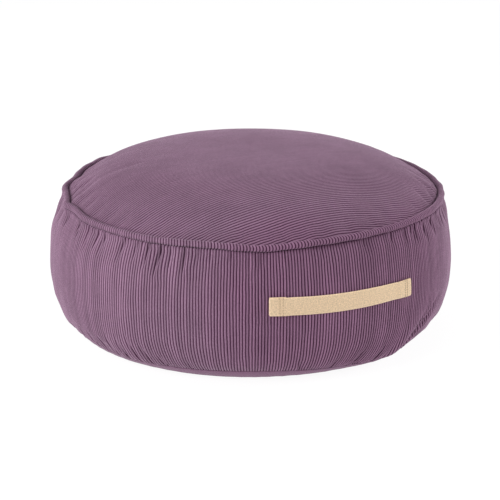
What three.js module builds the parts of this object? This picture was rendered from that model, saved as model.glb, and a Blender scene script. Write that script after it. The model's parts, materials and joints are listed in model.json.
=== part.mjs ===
// A round corduroy floor pouf: a filled cushion with a crowned top, a drawn-in side band,
// self-covered piping round the top seam and a webbing handle sewn to the side.
//
// Millimetres, +Z up. The origin is the middle of the flat underside, -Y is the front.
// Azimuths are in degrees from the front, positive towards +X.

import * as THREE from "three";

// ---------------------------------------------------------------- driving dimensions

const FULL_RADIUS = 250; // half the fullest girth
const FOOT_RADIUS = 188; // the flat underside
const LOWER_SEAM = { radius: 227.5, height: 16.5 }; // side band to bottom panel
const UPPER_SEAM = { radius: 232.5, height: 166.3 }; // side band to top panel
const CROWN_HEIGHT = 219; // top of the crown above the floor
const CROWN_EDGE = { radius: 228.4, height: 169.5 }; // where the top panel meets the piping
const CROWN_FULLNESS = 4.3; // 2 is a plain dome, more is flatter in the middle

const BAND_TOP_DRAW = 22; // how far below the upper seam the band is still drawn in
const BAND_FOOT_DRAW = 21; // and above the lower seam
const BELLY_SAG = 3.2; // the fill settles, so the belly is this much fuller low down
const FOOT_ROLL = { out: 24, rise: 8.2, lean: 0.7 }; // how the bottom panel turns up to the seam

const CLOTH = 2; // corduroy and bottom cloth, pile included
const GAP = 0.7; // between neighbouring pieces; their facets take up to half of it

const PIPING_RADIUS = 4.2;
const PIPING_LINE = { radius: 233, height: 171.1 }; // middle of the covered cord
const PIPING_SIDES = 8;

const HANDLE = {
  length: 189,
  width: 22,
  thickness: 1.8,
  middle: 26.4, // azimuth of its middle
  height: 102.6, // of its middle line there
  fall: 3.8, // it drops this much from its left end to its right end
  foldLength: 20, // turned under and stitched down at each end
  foldThickness: 1.4,
  lengthSteps: 19,
  widthSteps: 2,
};

// Steps of the faceted surfaces.
const ROUND_STEPS = 90;
const BAND_STEPS = 10;
const ROLL_STEPS = 4;
const CROWN_RINGS = [0, 0.3, 0.53, 0.72, 0.86, 0.95, 1]; // shares of the crown's edge radius
const HALVINGS = 30;

// ---------------------------------------------------------------- unevenness of the sewn cover

// The upper seam isn't a true circle in one plane. Each row is a soft swell or dip of it,
// in millimetres, `spread` degrees either way.
const UPPER_SEAM_WAVES = [
  { azimuth: 3, lift: -2.9, reach: 0, spread: 9 },
  { azimuth: 22, lift: 0.9, reach: 0, spread: 10 },
  { azimuth: 38, lift: 2.2, reach: 0, spread: 12 },
  { azimuth: 58, lift: 2, reach: 0, spread: 12 },
  { azimuth: 78, lift: 1.1, reach: 0, spread: 12 },
  { azimuth: 100, lift: -1.3, reach: 0, spread: 14 },
  { azimuth: 152, lift: -1.5, reach: -1, spread: 20 },
  { azimuth: -30, lift: -1.5, reach: 0, spread: 11 },
  { azimuth: -50, lift: -1.3, reach: 0, spread: 11 },
  { azimuth: -70, lift: 3.7, reach: -3, spread: 9 },
  { azimuth: -93, lift: -0.7, reach: 1, spread: 9 },
  { azimuth: -122, lift: 2.9, reach: 0, spread: 14 },
];
const TOP_SHIFT = 2.8; // the whole top sits this much towards +X

// The lower seam rides up and down on the roll of the bottom panel, and in and out.
const LOWER_SEAM_WAVES = [
  { azimuth: 0, lift: 1.4, reach: 0.8, spread: 20 },
  { azimuth: 54, lift: -2.4, reach: 2.8, spread: 24 },
  { azimuth: 128, lift: 1.2, reach: 0, spread: 20 },
  { azimuth: -50, lift: -1.2, reach: -1.5, spread: 16 },
  { azimuth: -120, lift: -1.5, reach: 0, spread: 22 },
];

// Gathers: shallow troughs that run down the band from the upper seam, or up from the lower one.
const GATHERS = [
  { azimuth: -40, depth: 2.6, spread: 5, from: "upper", run: 34 },
  { azimuth: -25, depth: 2.2, spread: 4, from: "upper", run: 40 },
  { azimuth: 62, depth: 2.2, spread: 5, from: "upper", run: 30 },
  { azimuth: 78, depth: 2.4, spread: 5, from: "upper", run: 26 },
  { azimuth: 150, depth: 2.2, spread: 5, from: "upper", run: 32 },
  { azimuth: -135, depth: 2.4, spread: 5, from: "upper", run: 30 },
  { azimuth: -66, depth: 2.2, spread: 6, from: "lower", run: 26 },
  { azimuth: -48, depth: 2, spread: 5, from: "lower", run: 24 },
  { azimuth: 56, depth: 1.6, spread: 6, from: "lower", run: 24 },
  { azimuth: 72, depth: 1.8, spread: 6, from: "lower", run: 26 },
  { azimuth: 170, depth: 2.4, spread: 6, from: "lower", run: 26 },
];

const SEAM_WAVE_REACH = 42; // the seam waves die away this far down the band
const CROWN_WAVE_REACH = 80; // and this far in over the crown

const { smoothstep, degToRad, radToDeg, euclideanModulo } = THREE.MathUtils;

const bell = (x) => Math.exp(-x * x);
const turnBetween = (a, b) => euclideanModulo(a - b + 180, 360) - 180;

// Sums one column of a table of swells at an azimuth.
function swell(table, column, azimuth) {
  return table.reduce(
    (sum, row) => sum + row[column] * bell(turnBetween(azimuth, row.azimuth) / row.spread),
    0,
  );
}

function gathering(azimuth, height) {
  return GATHERS.reduce((sum, g) => {
    const away = g.from === "upper" ? UPPER_SEAM.height - height : height - LOWER_SEAM.height;
    const along = smoothstep(away, 0, g.run / 4) * (1 - smoothstep(away, g.run / 4, g.run));
    return sum + g.depth * along * bell(turnBetween(azimuth, g.azimuth) / g.spread);
  }, 0);
}

// Moves one point of the even pouf to its place on the uneven one. It is one smooth movement
// of the space that all the pieces share, so neighbours keep their gap.
function settle(point) {
  const radius = Math.hypot(point.x, point.y);
  if (radius < 1) return;
  const azimuth = radToDeg(Math.atan2(point.x, -point.y));
  const { height, radius: seamRadius } = UPPER_SEAM;
  const nearTop =
    smoothstep(point.z, height - SEAM_WAVE_REACH, height - 2) *
    smoothstep(radius, seamRadius - CROWN_WAVE_REACH, seamRadius - 8);
  const nearFoot =
    smoothstep(point.z, 0, LOWER_SEAM.height) *
    (1 - smoothstep(point.z, LOWER_SEAM.height, LOWER_SEAM.height + SEAM_WAVE_REACH));
  const onBand = smoothstep(radius, FOOT_RADIUS, LOWER_SEAM.radius);
  const reach =
    nearTop * (swell(UPPER_SEAM_WAVES, "reach", azimuth) + TOP_SHIFT * Math.sin(degToRad(azimuth))) +
    nearFoot * onBand * swell(LOWER_SEAM_WAVES, "reach", azimuth) -
    onBand * gathering(azimuth, point.z);
  const stretch = 1 + reach / radius;
  point.x *= stretch;
  point.y *= stretch;
  point.z +=
    nearTop * swell(UPPER_SEAM_WAVES, "lift", azimuth) +
    nearFoot * onBand * swell(LOWER_SEAM_WAVES, "lift", azimuth);
}

// ---------------------------------------------------------------- half outlines, as (radius, height)

const at = (radius, height) => new THREE.Vector2(radius, height);

// The outside of the crown, or a line `distance` inside it, from the middle to the piping.
function crownLine(distance) {
  const drop = CROWN_HEIGHT - CROWN_EDGE.height;
  return CROWN_RINGS.map((share) => {
    const slope = (-drop * CROWN_FULLNESS * share ** (CROWN_FULLNESS - 1)) / CROWN_EDGE.radius;
    const inwards = at(slope, -1).setLength(distance);
    return at(share * CROWN_EDGE.radius, CROWN_HEIGHT - drop * share ** CROWN_FULLNESS).add(inwards);
  });
}

// The outside of the side band, from the lower seam up to the upper one.
const bellyRadius = (FULL_RADIUS - (LOWER_SEAM.radius + UPPER_SEAM.radius) / 8) / 0.75;
const bandCurve = new THREE.CubicBezierCurve(
  at(LOWER_SEAM.radius, LOWER_SEAM.height),
  at(bellyRadius + BELLY_SAG, LOWER_SEAM.height + BAND_FOOT_DRAW),
  at(bellyRadius - BELLY_SAG, UPPER_SEAM.height - BAND_TOP_DRAW),
  at(UPPER_SEAM.radius, UPPER_SEAM.height),
);

// The outside of the bottom panel, from the flat foot out and up to the lower seam.
const rollCurve = new THREE.CubicBezierCurve(
  at(FOOT_RADIUS, 0),
  at(FOOT_RADIUS + FOOT_ROLL.out, 0),
  at(LOWER_SEAM.radius - FOOT_ROLL.rise * FOOT_ROLL.lean, LOWER_SEAM.height - FOOT_ROLL.rise),
  at(LOWER_SEAM.radius, LOWER_SEAM.height),
);

// The roll, or a line `distance` inside it, up to a share of its length.
function rollLine(distance, endShare = 1) {
  return Array.from({ length: ROLL_STEPS + 1 }, (_, i) => {
    const t = (i / ROLL_STEPS) * endShare;
    const along = rollCurve.getTangent(t);
    return rollCurve.getPoint(t).add(at(-along.y, along.x).multiplyScalar(distance));
  });
}

// The band's outside radius at a height, found by halving.
function bandRadius(height) {
  let [low, high] = [0, 1];
  for (let halving = 0; halving < HALVINGS; halving++) {
    const middle = (low + high) / 2;
    if (bandCurve.getPoint(middle).y < height) low = middle;
    else high = middle;
  }
  return bandCurve.getPoint(low).x;
}

// ---------------------------------------------------------------- pieces

// Turns a half outline round the upright axis, then settles it into its uneven shape.
function turned(outline) {
  const geometry = new THREE.LatheGeometry(outline, ROUND_STEPS).rotateX(Math.PI / 2);
  const position = geometry.getAttribute("position");
  const point = new THREE.Vector3();
  for (let i = 0; i < position.count; i++) {
    settle(point.fromBufferAttribute(position, i));
    position.setXYZ(i, point.x, point.y, point.z);
  }
  geometry.computeVertexNormals();
  return geometry;
}

// The side band carries the fill: it is the one filled solid of the cushion.
function sideBand() {
  const under = CLOTH + GAP;
  const band = bandCurve.getPoints(BAND_STEPS);
  return turned([at(0, under), ...rollLine(under), ...band, ...crownLine(under).reverse()]);
}

function topPanel() {
  return turned([...crownLine(CLOTH), ...crownLine(0).reverse()]);
}

// The bottom panel is smooth cloth: flat where it rests, rolled up to the lower seam.
function bottomPanel() {
  const endShare = 1 - GAP / rollCurve.getLength();
  const inside = rollLine(CLOTH, endShare).reverse();
  return turned([at(0, 0), ...rollLine(0, endShare), ...inside, at(0, CLOTH)]);
}

function topPiping() {
  const around = Array.from({ length: PIPING_SIDES + 1 }, (_, i) => {
    const turn = ((i + 0.5) / PIPING_SIDES) * 2 * Math.PI;
    return at(
      PIPING_LINE.radius + PIPING_RADIUS * Math.cos(turn),
      PIPING_LINE.height + PIPING_RADIUS * Math.sin(turn),
    );
  });
  return turned(around);
}

// A flat tape bent round the band. Its ends are folded under, so they are thicker.
function handle() {
  const { length, width, thickness, lengthSteps, widthSteps } = HANDLE;
  const geometry = new THREE.BoxGeometry(length, width, thickness, lengthSteps, widthSteps, 1);
  const position = geometry.getAttribute("position");
  for (let i = 0; i < position.count; i++) {
    const along = position.getX(i);
    const height = HANDLE.height - (HANDLE.fall * along) / length + position.getY(i);
    const folded = Math.abs(along) > length / 2 - HANDLE.foldLength;
    const outer = position.getZ(i) > 0;
    const out = outer ? thickness + (folded ? HANDLE.foldThickness : 0) : 0;
    const radius = bandRadius(height) + GAP + out;
    const azimuth = degToRad(HANDLE.middle) + along / FULL_RADIUS;
    position.setXYZ(i, radius * Math.sin(azimuth), -radius * Math.cos(azimuth), height);
  }
  geometry.computeVertexNormals();
  return geometry;
}

// ---------------------------------------------------------------- the pouf

const corduroy = new THREE.MeshStandardMaterial({ color: 0x84677d, roughness: 0.95, metalness: 0 });
const bottomCloth = new THREE.MeshStandardMaterial({ color: 0x896b80, roughness: 0.9, metalness: 0 });
const webbing = new THREE.MeshStandardMaterial({ color: 0xd7bd9e, roughness: 0.9, metalness: 0 });

const PIECES = [
  ["side_band", sideBand, corduroy],
  ["top_panel", topPanel, corduroy],
  ["bottom_panel", bottomPanel, bottomCloth],
  ["top_piping", topPiping, corduroy],
  ["handle", handle, webbing],
];

const pouf = new THREE.Group();
pouf.name = "corduroy_floor_pouf";
for (const [name, shape, material] of PIECES) {
  const mesh = new THREE.Mesh(shape(), material.clone());
  mesh.name = name;
  pouf.add(mesh);
}

export default pouf;
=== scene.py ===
"""Sews the look of a corduroy floor pouf round its packed solids.

The ribs of the corduroy are real ridges, and the band and the top are filled by cloth simulation.
Millimetres and degrees in the tables, metres elsewhere. Azimuths are in degrees: they start at the
front and grow towards +X.
"""

import json
import math
from functools import partial

import bpy
import numpy as np
from bpy.props import FloatProperty, FloatVectorProperty, IntProperty, PointerProperty
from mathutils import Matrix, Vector

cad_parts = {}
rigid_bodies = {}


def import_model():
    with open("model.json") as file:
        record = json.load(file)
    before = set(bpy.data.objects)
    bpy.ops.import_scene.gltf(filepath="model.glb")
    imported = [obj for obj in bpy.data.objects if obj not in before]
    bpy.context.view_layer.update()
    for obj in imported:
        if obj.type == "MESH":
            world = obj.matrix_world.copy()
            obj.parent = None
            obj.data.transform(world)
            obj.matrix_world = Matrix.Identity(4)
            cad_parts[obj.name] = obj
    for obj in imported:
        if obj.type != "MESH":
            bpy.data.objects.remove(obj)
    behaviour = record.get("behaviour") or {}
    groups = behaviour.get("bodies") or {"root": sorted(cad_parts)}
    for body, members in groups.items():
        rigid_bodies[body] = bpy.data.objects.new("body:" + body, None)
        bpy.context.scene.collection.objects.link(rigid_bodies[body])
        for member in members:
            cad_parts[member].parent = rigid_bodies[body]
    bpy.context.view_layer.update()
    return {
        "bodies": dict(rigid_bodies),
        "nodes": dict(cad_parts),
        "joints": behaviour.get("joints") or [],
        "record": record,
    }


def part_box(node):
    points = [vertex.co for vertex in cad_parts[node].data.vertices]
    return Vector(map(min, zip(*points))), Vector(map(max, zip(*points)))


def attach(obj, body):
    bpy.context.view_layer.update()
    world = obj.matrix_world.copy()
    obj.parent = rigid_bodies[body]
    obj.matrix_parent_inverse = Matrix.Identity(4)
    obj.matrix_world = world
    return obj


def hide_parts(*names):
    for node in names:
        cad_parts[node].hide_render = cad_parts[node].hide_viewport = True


bl_info = {
    "name": "Corduroy floor pouf",
    "version": (1, 0, 0),
    "blender": (4, 5, 0),
    "location": "3D View > Sidebar > Pouf",
    "description": "Sews a ribbed cover, piping and a webbing handle round the packed pouf",
    "category": "Object",
}

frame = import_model()
MM = 0.001

FULL_RADIUS = -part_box("side_band")[0].y
CROWN_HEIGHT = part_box("top_panel")[1].z
TAPE_LOW, TAPE_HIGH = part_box("handle")

# How far each end of the band's outline is drawn in before its seam, and how low its belly hangs.
BAND_FOOT_DRAW, BAND_TOP_DRAW, BELLY_SAG = 21 * MM, 22 * MM, 3.2 * MM
# The bottom panel's turn up to its seam: how far it runs flat, its last rise and that rise's lean.
ROLL_REACH, ROLL_RISE, ROLL_LEAN = 24 * MM, 8.2 * MM, 0.7
# Hems inside the cover, each point (out, up) from its seam, in millimetres.
BAND_LOWER_HEM = ((-6.0, 1.2), (-3.0, -0.4), (-1.0, -0.6))
BAND_UPPER_HEM = ((-1.0, 0.6), (-3.2, 0.8), (-6.4, 0.2))
BOTTOM_HEM = ((-2.2, 0.4), (-5.5, 1.2))
# How far the band's cloth puffs out and up against the piping.
PUFF_OUT, PUFF_UP = 2.7 * MM, 2.3 * MM
# How far the tape stands off the belly of the band.
TAPE_LIFT = 0.5 * MM

# Points up the band, along each rib of the top and round the piping.
BAND_ROWS, TOP_RIB_ROWS, PIPING_SIDES = 34, 104, 14
# Points round the bottom panel, up its roll and out over its flat.
BOTTOM_COLUMNS, ROLL_ROWS, FLAT_ROWS = 360, 15, 22
# Steps along a line that is only measured.
MEASURE_STEPS = 400

# ---------------------------------------------------------------- tables of the uneven cover

# Soft swells of the upper seam: azimuth, lift, reach and half width.
UPPER_SEAM_WAVES = (
    (3, -2.9, 0, 9),
    (22, 0.9, 0, 10),
    (38, 2.2, 0, 12),
    (58, 2, 0, 12),
    (78, 1.1, 0, 12),
    (100, -1.3, 0, 14),
    (152, -1.5, -1, 20),
    (-30, -1.5, 0, 11),
    (-50, -1.8, -1.2, 12),
    (-58, 0.2, 0.8, 4),
    (-65, 0.9, -0.6, 4.5),
    (-72.5, 0.2, 3.0, 3.2),
    (-70, 0.6, -0.8, 8),
    (-82.5, 0, -2.4, 7),
    (-93, 0.3, 1.7, 3.8),
    (-101, 0.6, -4.6, 6.5),
    (-122, 2.9, 0, 14),
)
# The same for the lower seam.
LOWER_SEAM_WAVES = (
    (0, 1.4, 0.4, 16),
    (22, -1.0, 0.8, 10),
    (42, -4.0, 3.8, 12),
    (60, 1.2, 0.4, 8),
    (128, 1.2, 0, 20),
    (-46, -3.0, -1.3, 18),
    (-120, -1.5, 0, 22),
)
# Broad gathers of the band: azimuth, depth, half width in degrees and length.
UPPER_GATHERS = (
    (14, 1.3, 7, 11),
    (30, 1.6, 12, 13),
    (-40, 2.6, 5, 34),
    (-25, 2.2, 4, 40),
    (62, 2.2, 5, 30),
    (78, 2.4, 5, 26),
    (150, 2.2, 5, 32),
    (-135, 2.4, 5, 30),
)
LOWER_GATHERS = (
    (-66, 2.2, 6, 26),
    (-48, 2, 5, 24),
    (56, 1.6, 6, 24),
    (72, 1.8, 6, 26),
    (170, 2.4, 6, 26),
)
# Narrow puckers of the band: azimuth at the seam, how far it has turned at its far end,
# depth, half width in millimetres and length.
UPPER_PUCKERS = (
    (-61, 2, 1.7, 2.6, 26),
    (-54.6, 0.5, 1.8, 2.6, 30),
    (-50, 0.4, 1.4, 2.4, 28),
    (-46, -1.4, 1.2, 2.4, 24),
    (-38.1, -2.1, 1.6, 3.2, 36),
    (-33.2, -1.6, 1.2, 3.0, 30),
    (-29.5, -1.5, 1.9, 3.2, 40),
    (-25.6, -1.8, 2.4, 3.2, 50),
    (-22, -0.8, 1.1, 2.8, 34),
    (-18.3, -0.4, 2.1, 3.0, 40),
    (-14.6, -0.2, 1.3, 2.2, 22),
    (-11, 0, 1.0, 2.2, 16),
    (-5.5, 0.2, 0.9, 2.2, 14),
    (0.2, 0.3, -1.7, 2.6, 26),
    (2.6, 0.2, 1.5, 2.8, 24),
    (9.5, 0.2, 1.0, 2.2, 14),
    (20, 0.3, 1.1, 2.2, 15),
    (33, 0.4, 1.0, 2.2, 14),
    (43, 0.5, 1.2, 2.2, 16),
    (48.6, 0, 1.6, 2.6, 22),
    (51.2, 1.3, 1.3, 2.4, 26),
    (53.6, 0.8, 1.9, 2.8, 28),
    (57.9, 2, 2.2, 3.0, 32),
    (63.1, 1.8, 2.1, 3.0, 31),
    (68.5, 1, 1.3, 2.6, 22),
    (72.4, 0.2, 1.7, 2.8, 26),
    (77, 0.8, 1.9, 3.0, 26),
    (92, 1, 2.0, 3, 26),
    (97, -1, 2.4, 3, 30),
    (118, 1, 1.6, 3, 22),
    (141, 1.5, 2.5, 3, 34),
    (147, 0.5, 2.1, 2.8, 26),
    (172, -1, 1.8, 3, 24),
    (-70, 0.5, 1.7, 3, 24),
    (-84, -1, 1.8, 3, 24),
    (-108, 1, 2.1, 3, 28),
    (-113, -0.5, 2.5, 3, 34),
    (-131, 1.5, 2.1, 2.8, 26),
    (-158, -1, 1.9, 3, 28),
)
LOWER_PUCKERS = (
    (-60, 2, 1.8, 3, 24),
    (-51.5, -2, 1.2, 3.0, 28),
    (-46.8, -2.4, 1.4, 3.0, 32),
    (-42.5, -2.9, 1.8, 3.0, 42),
    (-37.8, -3.6, 2.0, 3.0, 46),
    (-33.2, -4.2, 2.2, 3.0, 48),
    (-29.4, -3.0, 1.6, 2.8, 38),
    (-25, -1.4, 1.5, 2.6, 24),
    (-17, -0.6, 1.1, 2.4, 16),
    (14, 0.3, 1.0, 2.2, 14),
    (24, 0.5, 1.2, 2.4, 18),
    (31, 0.8, 1.3, 2.4, 22),
    (38, 2.4, 1.4, 2.8, 30),
    (43.6, 12.7, -2.4, 7, 64),
    (47.0, 14.5, 3.6, 4.0, 60),
    (48.4, 21, 5.4, 4.8, 68),
    (68, 5, 2.2, 3, 28),
    (84, 3, 2.2, 3, 28),
    (104, -2, 1.8, 3, 26),
    (126, 3, 2.3, 3, 32),
    (149, -2, 1.9, 3, 24),
    (166, 2, 2.4, 3, 30),
    (-78, -3, 2.3, 3, 32),
    (-96, 2, 1.8, 3, 24),
    (-125, -3, 2.4, 3, 32),
    (-151, 2, 1.9, 3, 26),
)
# How the ribs sway where they meet the lower seam: azimuth, degrees, length in millimetres
# and half width in degrees.
LOWER_SWAY = (
    (39, -3.4, 44, 16),
    (-30, 1.9, 44, 15),
    (-58, 1.2, 36, 14),
    (88, 1.6, 40, 18),
    (140, -2.4, 44, 16),
    (-120, -2.0, 40, 18),
)
# Where the cloth is fullest for its seam: azimuth, amount and half width.
UPPER_EASE = (
    (-48, 0.7, 12),
    (-27, 0.7, 10),
    (60, 0.6, 13),
    (97, 0.6, 10),
    (144, 0.7, 12),
    (-86, 0.5, 10),
    (-111, 0.7, 12),
    (-132, 0.5, 8),
    (172, 0.5, 12),
)
LOWER_EASE = (
    (-46, 0.6, 12),
    (-33, 0.7, 9),
    (33, 0.4, 8),
    (84, 0.5, 12),
    (126, 0.7, 12),
    (166, 0.7, 12),
    (-78, 0.6, 12),
    (-125, 0.7, 12),
)
CROWN_EASE = (
    (-85, 0.4, 14),
    (82, 0.4, 12),
    (150, 0.3, 14),
    (-140, 0.3, 14),
)
# Tension folds of the top panel, each from one plan point to another: depth and half width.
CROWN_FOLDS = (
    (-224, -34, -172, -20, 1.1, 5),
    (-218, -56, -160, -34, 0.9, 6),
    (-226, 4, -196, 22, 1.0, 5),
    (227, -34, 192, -14, 1.0, 5),
    (222, -60, 208, -18, 1.1, 4),
    (214, -76, 186, -46, 0.8, 5),
    (-120, 190, -96, 150, 1.0, 6),
    (60, 215, 48, 172, 0.9, 6),
    (190, 118, 158, 92, 1.0, 6),
)


# ---------------------------------------------------------------- settings

LengthProperty = partial(FloatProperty, unit="LENGTH")
TurnProperty = partial(FloatProperty, unit="ROTATION")
ColourProperty = partial(FloatVectorProperty, subtype="COLOR", size=3)


class PoufCoverSizes(bpy.types.PropertyGroup):
    """Sizes of the sewn cover."""

    full_radius: LengthProperty(name="Full radius", description="Out to the belly", default=FULL_RADIUS)
    foot_radius: LengthProperty(name="Foot radius", description="Of the flat underside", default=0.188)
    lower_seam_radius: LengthProperty(
        name="Lower seam radius", description="Side band to bottom panel", default=0.2275
    )
    lower_seam_height: LengthProperty(
        name="Lower seam height", description="Its height above the floor", default=0.0165
    )
    upper_seam_radius: LengthProperty(
        name="Upper seam radius", description="Side band to top panel", default=0.2325
    )
    upper_seam_height: LengthProperty(
        name="Upper seam height", description="Its height above the floor", default=0.1663
    )
    crown_height: LengthProperty(
        name="Crown height", description="Top of the crown", default=CROWN_HEIGHT
    )
    crown_edge_radius: LengthProperty(
        name="Crown edge radius", description="Where the top meets the piping", default=0.2284
    )
    crown_edge_height: LengthProperty(
        name="Crown edge height", description="Its height there", default=0.1695
    )
    crown_fullness: FloatProperty(
        name="Crown fullness",
        description="2 is a plain dome, more is flatter",
        default=4.3,
        min=2,
        max=8,
    )
    piping_radius: LengthProperty(
        name="Piping radius", description="Half the thickness of the covered cord", default=0.0042
    )
    piping_line_radius: LengthProperty(
        name="Piping line radius", description="Middle line of the cord", default=0.233
    )
    piping_line_height: LengthProperty(
        name="Piping line height", description="Its height above the floor", default=0.1711
    )
    top_shift: LengthProperty(
        name="Top shift", description="How far the top sits towards +X", default=0.0028
    )


class PoufCorduroy(bpy.types.PropertyGroup):
    """The ribs of the cloth and its colours."""

    band_wales: IntProperty(
        name="Band wales", description="Ribs round the side band", default=435, min=40, max=800
    )
    top_pitch: LengthProperty(
        name="Top pitch", description="From rib to rib on the top panel", default=0.00361
    )
    top_turn: TurnProperty(
        name="Top turn",
        description="Which way the ribs of the top run, from +X",
        default=math.radians(25.65),
    )
    piping_wales: IntProperty(
        name="Piping wales", description="Ribs across the piping", default=405, min=40, max=800
    )
    groove_depth: LengthProperty(
        name="Groove depth", description="From a rib's top to the groove", default=0.0011
    )
    ridge_colour: ColourProperty(
        name="Ridge colour", description="The brushed pile", default=(0.275, 0.166, 0.243)
    )
    # Partly the ground weave's own colour and partly painted shade in the grooves between the ribs.
    groove_colour: ColourProperty(
        name="Groove colour", description="Between the ribs", default=(0.066, 0.014, 0.049)
    )
    # Painted shade: the two colours below are used on the side that faces the front right, darker and
    # more saturated, standing in for the pile's weaker sheen there.
    shaded_side_colour: ColourProperty(
        name="Nap colour",
        description="Where the pile is brushed the other way",
        default=(0.263, 0.138, 0.223),
    )
    shaded_side_groove_colour: ColourProperty(
        name="Nap groove colour", description="Between the ribs there", default=(0.036, 0.004, 0.025)
    )
    bottom_colour: ColourProperty(
        name="Bottom cloth colour", description="The plain bottom cloth", default=(0.200, 0.090, 0.166)
    )


class PoufTape(bpy.types.PropertyGroup):
    """The webbing handle."""

    length: LengthProperty(name="Length", description="What shows of it", default=0.189)
    width: LengthProperty(name="Width", description="Edge to edge", default=0.022)
    thickness: LengthProperty(name="Thickness", description="Of one layer", default=0.0015)
    fold: LengthProperty(name="Fold", description="Turned under at each end", default=0.020)
    azimuth: TurnProperty(name="Azimuth", description="Of its middle", default=math.radians(26.4))
    height: LengthProperty(
        name="Height", description="Of its middle line", default=(TAPE_LOW.z + TAPE_HIGH.z) / 2
    )
    fall: LengthProperty(
        name="Fall", description="From its left end to its right end", default=0.0038
    )
    yarn: LengthProperty(name="Yarn pitch", description="From yarn to yarn", default=0.001)
    colour: ColourProperty(
        name="Tape colour", description="Undyed cotton", default=(0.80, 0.60, 0.40)
    )


class PoufStudio(bpy.types.PropertyGroup):
    """Camera and light."""

    elevation: TurnProperty(name="Camera elevation", description="Above level", default=0.3111)
    distance: LengthProperty(name="Camera distance", description="To the pouf", default=2.45)
    lens: FloatProperty(name="Lens", description="Focal length in millimetres", default=140.7)
    aim_height: LengthProperty(name="Aim height", description="What it points at", default=0.0917)
    aim_side: LengthProperty(name="Aim side", description="What it points at", default=-0.0007)


# ---------------------------------------------------------------- shape of the pouf


def smoothstep(value, low, high):
    """Rises smoothly from 0 at low to 1 at high."""
    share = np.clip((value - low) / (high - low), 0, 1)
    return share * share * (3 - 2 * share)


def bell(x):
    """1 at 0, and near 0 from 2 on."""
    return np.exp(-x * x)


def trough(x):
    """A soft trough with a raised lip on each side, as a pucker in cloth has."""
    return (1 - 1.2 * x * x) * np.exp(-x * x)


def turn_between(a, b):
    """Degrees from azimuth b to azimuth a, the short way round."""
    return (a - b + 180) % 360 - 180


def swell(table, column, azimuth):
    """Sums one column of a table of seam waves at each azimuth, in metres."""
    return MM * sum(row[column] * bell(turn_between(azimuth, row[0]) / row[3]) for row in table)


def ripple(around, up, waves, seed, size):
    """Smooth unevenness from -size to size: `waves` gives the least and most waves a turn.
    around is in degrees and up in metres."""
    draw = np.random.default_rng(seed)
    count, radius, slant = 24, 0.25, 0.8
    turns = draw.integers(waves[0], waves[1], count)
    rises = draw.normal(0, 1, count) * turns / radius * slant
    phases = draw.uniform(0, 2 * np.pi, count)
    total = sum(np.sin(np.radians(around) * n + up * r + p) for n, r, p in zip(turns, rises, phases))
    return size * total / math.sqrt(count)


def bezier(corners, share):
    """Points at each share from 0 to 1 of the curve with these four control points."""
    a, b, c, d = (np.array(corner) for corner in corners)
    t = np.asarray(share)[:, None]
    return (1 - t) ** 3 * a + 3 * (1 - t) ** 2 * t * b + 3 * (1 - t) * t * t * c + t**3 * d


def band_corners(sizes):
    """Control points of the side band's outline, from the lower seam to the upper one."""
    low, high = sizes.lower_seam_radius, sizes.upper_seam_radius
    # Half way along, the curve takes an eighth of each end and three quarters of the belly.
    belly = (sizes.full_radius - (low + high) / 8) / 0.75
    return (
        (low, sizes.lower_seam_height),
        (belly + BELLY_SAG, sizes.lower_seam_height + BAND_FOOT_DRAW),
        (belly - BELLY_SAG, sizes.upper_seam_height - BAND_TOP_DRAW),
        (high, sizes.upper_seam_height),
    )


def roll_corners(sizes):
    """Control points of the bottom panel's turn from the floor up to the lower seam."""
    return (
        (sizes.foot_radius, 0),
        (sizes.foot_radius + ROLL_REACH, 0),
        (sizes.lower_seam_radius - ROLL_RISE * ROLL_LEAN, sizes.lower_seam_height - ROLL_RISE),
        (sizes.lower_seam_radius, sizes.lower_seam_height),
    )


def crown_height_at(sizes, radius):
    """Height of the even crown at each radius."""
    drop = sizes.crown_height - sizes.crown_edge_height
    return sizes.crown_height - drop * (radius / sizes.crown_edge_radius) ** sizes.crown_fullness


def gathering(sizes, azimuth, height):
    """How far the broad gathers draw the band in."""
    total = np.zeros(np.broadcast(azimuth, height).shape)
    ends = (
        (UPPER_GATHERS, sizes.upper_seam_height - height),
        (LOWER_GATHERS, height - sizes.lower_seam_height),
    )
    for table, away in ends:
        for middle, depth, spread, run in table:
            along = smoothstep(away, 0, run * MM / 4) * (1 - smoothstep(away, run * MM / 4, run * MM))
            total += depth * MM * along * bell(turn_between(azimuth, middle) / spread)
    return total


def settle(sizes, points):
    """Moves points of the even pouf to their places on the uneven one."""
    x, y, z = np.moveaxis(points, -1, 0)
    radius = np.maximum(np.hypot(x, y), MM)
    azimuth = np.degrees(np.arctan2(x, -y))
    top, foot, edge = sizes.upper_seam_height, sizes.lower_seam_height, sizes.upper_seam_radius
    reach_of_seam = 42 * MM
    near_top = smoothstep(z, top - reach_of_seam, top - 2 * MM)
    near_top = near_top * smoothstep(radius, edge - 80 * MM, edge - 8 * MM)
    near_foot = smoothstep(z, 0, foot) * (1 - smoothstep(z, foot, foot + reach_of_seam))
    on_band = smoothstep(radius, sizes.foot_radius, sizes.lower_seam_radius)
    shift = sizes.top_shift * np.sin(np.radians(azimuth))
    reach = (
        near_top * (swell(UPPER_SEAM_WAVES, 2, azimuth) + shift)
        + near_foot * on_band * swell(LOWER_SEAM_WAVES, 2, azimuth)
        - on_band * gathering(sizes, azimuth, z)
    )
    stretch = 1 + reach / radius
    lift = near_top * swell(UPPER_SEAM_WAVES, 1, azimuth)
    lift = lift + near_foot * on_band * swell(LOWER_SEAM_WAVES, 1, azimuth)
    return np.stack([x * stretch, y * stretch, z + lift], -1)


def turned(outline, azimuths):
    """Points (azimuth, outline point, xyz) of an outline turned round the upright axis.
    azimuths is one row, or a grid with a column for each outline point."""
    radius, height = outline[:, 0], outline[:, 1]
    angle = np.radians(azimuths)
    angle = angle[:, None] if angle.ndim == 1 else angle
    radius, height, angle = np.broadcast_arrays(radius[None], height[None], angle)
    return np.stack([radius * np.sin(angle), -radius * np.cos(angle), height], -1)


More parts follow.
